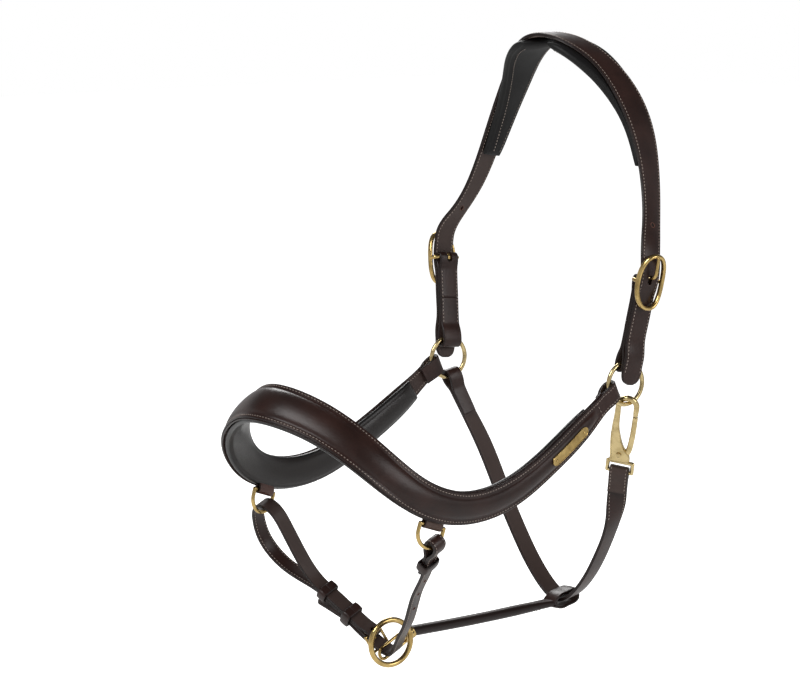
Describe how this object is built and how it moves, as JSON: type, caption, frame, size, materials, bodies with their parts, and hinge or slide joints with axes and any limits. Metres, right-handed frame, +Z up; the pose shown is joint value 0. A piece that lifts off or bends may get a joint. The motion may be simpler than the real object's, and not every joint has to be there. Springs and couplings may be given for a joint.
{
  "type": "headcollar",
  "caption": "Leather headcollar with a padded noseband and crown, brass rings and buckles, a throat strap on a snap hook, and a buckled chin strap.",
  "frame": {"origin": "the seat on the poll, under the middle of the headpiece", "axes": "+Z up, -Y towards the horse's nose, +X towards the horse's left (near) side"},
  "size_m": [0.2857, 0.392, 0.5474],
  "materials": {
    "leather": "dark havana bridle leather, softly waxed, cream stitching along the edges",
    "padding": "soft matt black padded leather lining",
    "brass": "polished yellow brass with light handling wear",
    "pale_brass": "polished pale brass with light handling wear"
  },
  "bodies": {
    "headpiece": {"headpiece_leather": "leather", "poll_pad_near": "padding", "poll_pad_far": "padding", "cheekpiece_near": "leather", "cheekpiece_far": "leather"},
    "buckle_near": {"buckle_frame_near": "brass"},
    "buckle_far": {"buckle_frame_far": "brass"},
    "tongue_near": {"buckle_tongue_near": "brass"},
    "tongue_far": {"buckle_tongue_far": "brass"},
    "ring_near": {"cheek_ring_near": "pale_brass"},
    "ring_far": {"cheek_ring_far": "pale_brass"},
    "noseband": {"noseband_leather": "leather", "noseband_padding": "padding", "nameplate": "brass", "nameplate_pins": "brass", "dee_chape_near": "leather", "dee_chape_far": "leather"},
    "dee_near": {"dee_ring_near": "brass"},
    "dee_far": {"dee_ring_far": "brass"},
    "throat": {"throat_strap": "leather", "snap_eye": "pale_brass"},
    "chin_strap": {"chin_strap_far": "leather", "chin_strap_near": "leather", "chin_keeper_lower": "leather"},
    "centre": {"halter_bolt": "brass", "centre_strap": "leather"},
    "chin_buckle": {"chin_buckle_frame": "brass"},
    "chin_tongue": {"chin_buckle_tongue": "brass"},
    "keeper_far": {"chin_keeper_upper": "leather"},
    "keeper_near": {"chin_keeper_near": "leather"},
    "lead_ring": {"lead_ring": "brass"},
    "snap": {"snap_body": "pale_brass", "snap_rivet": "pale_brass"},
    "gate": {"snap_gate": "pale_brass"}
  },
  "joints": [
    {"name": "buckle_near_tip", "type": "hinge", "parent": "headpiece", "child": "buckle_near", "pos_m": [0.124, -0.006, -0.208], "axis": [0.1722, 0.9766, -0.1286], "range_deg": [-0.8, 0.8]},
    {"name": "buckle_far_tip", "type": "hinge", "parent": "headpiece", "child": "buckle_far", "pos_m": [-0.124, -0.006, -0.208], "axis": [-0.173, -0.9813, 0.0841], "range_deg": [-0.8, 0.8]},
    {"name": "tongue_near_lift", "type": "hinge", "parent": "buckle_near", "child": "tongue_near", "pos_m": [0.124, -0.006, -0.208], "axis": [0.1722, 0.9766, -0.1286], "range_deg": [0, 8]},
    {"name": "tongue_far_lift", "type": "hinge", "parent": "buckle_far", "child": "tongue_far", "pos_m": [-0.124, -0.006, -0.208], "axis": [-0.173, -0.9813, 0.0841], "range_deg": [0, 8]},
    {"name": "ring_near_turn", "type": "hinge", "parent": "headpiece", "child": "ring_near", "pos_m": [0.112, -0.016, -0.3], "axis": [0.9848, -0.1736, 0], "continuous": true},
    {"name": "ring_far_turn", "type": "hinge", "parent": "headpiece", "child": "ring_far", "pos_m": [-0.112, -0.016, -0.3], "axis": [0.9848, -0.1736, 0], "continuous": true},
    {"name": "face_swing", "type": "hinge", "parent": "headpiece", "child": "noseband", "pos_m": [0, -0.016, -0.3], "axis": [1, 0, 0], "range_deg": [-8, 10]},
    {"name": "dee_near_swing", "type": "hinge", "parent": "noseband", "child": "dee_near", "pos_m": [0.10727, -0.24594, -0.39554], "axis": [-0.1186, -0.94, 0.3198], "range_deg": [-1.5, 1.5]},
    {"name": "dee_far_swing", "type": "hinge", "parent": "noseband", "child": "dee_far", "pos_m": [-0.10727, -0.24594, -0.39554], "axis": [0.1186, -0.94, 0.3198], "range_deg": [-1.5, 1.5]},
    {"name": "throat_swing", "type": "hinge", "parent": "noseband", "child": "throat", "pos_m": [0, -0.016, -0.3], "axis": [1, 0, 0], "range_deg": [-3, 3]},
    {"name": "chin_swing", "type": "hinge", "parent": "noseband", "child": "chin_strap", "pos_m": [0, -0.24785, -0.40123], "axis": [1, 0, 0], "range_deg": [-6, 6]},
    {"name": "centre_swing", "type": "hinge", "parent": "chin_strap", "child": "centre", "pos_m": [0, -0.192, -0.53], "axis": [1, 0, 0], "range_deg": [-6, 6]},
    {"name": "chin_buckle_tip", "type": "hinge", "parent": "chin_strap", "child": "chin_buckle", "pos_m": [-0.019, -0.19797, -0.51624], "axis": [0, 0.9174, 0.3979], "range_deg": [-1, 1]},
    {"name": "chin_tongue_lift", "type": "hinge", "parent": "chin_buckle", "child": "chin_tongue", "pos_m": [-0.019, -0.19797, -0.51624], "axis": [0, 0.9174, 0.3979], "range_deg": [0, 8]},
    {"name": "keeper_far_slide", "type": "slide", "parent": "chin_strap", "child": "keeper_far", "axis": [-0.7779, -0.25, 0.5765], "range_m": [-0.002, 0.002]},
    {"name": "keeper_near_slide", "type": "slide", "parent": "chin_strap", "child": "keeper_near", "axis": [-0.6267, 0.31, -0.7149], "range_m": [-0.002, 0.002]},
    {"name": "lead_ring_turn", "type": "hinge", "parent": "chin_strap", "child": "lead_ring", "pos_m": [0.002, -0.19558, -0.52174], "axis": [0.9781, -0.2079, 0], "continuous": true},
    {"name": "snap_swivel", "type": "hinge", "parent": "throat", "child": "snap", "pos_m": [0.11256, -0.01281, -0.31821], "axis": [0.3849, -0.2753, 0.881], "range_deg": [-3.5, 3.5]},
    {"name": "gate_open", "type": "hinge", "parent": "snap", "child": "gate", "pos_m": [0.08964, 0.0013, -0.36664], "axis": [0.4492, -0.778, -0.4393], "range_deg": [0, 10], "stiffness_Nm_per_rad": 0.1, "springref_deg": -5.73}
  ],
  "couplings": [
    {"joint": "chin_swing", "follows": "throat_swing", "ratio": 1.6505},
    {"joint": "centre_swing", "follows": "throat_swing", "ratio": -1.8979}
  ]
}
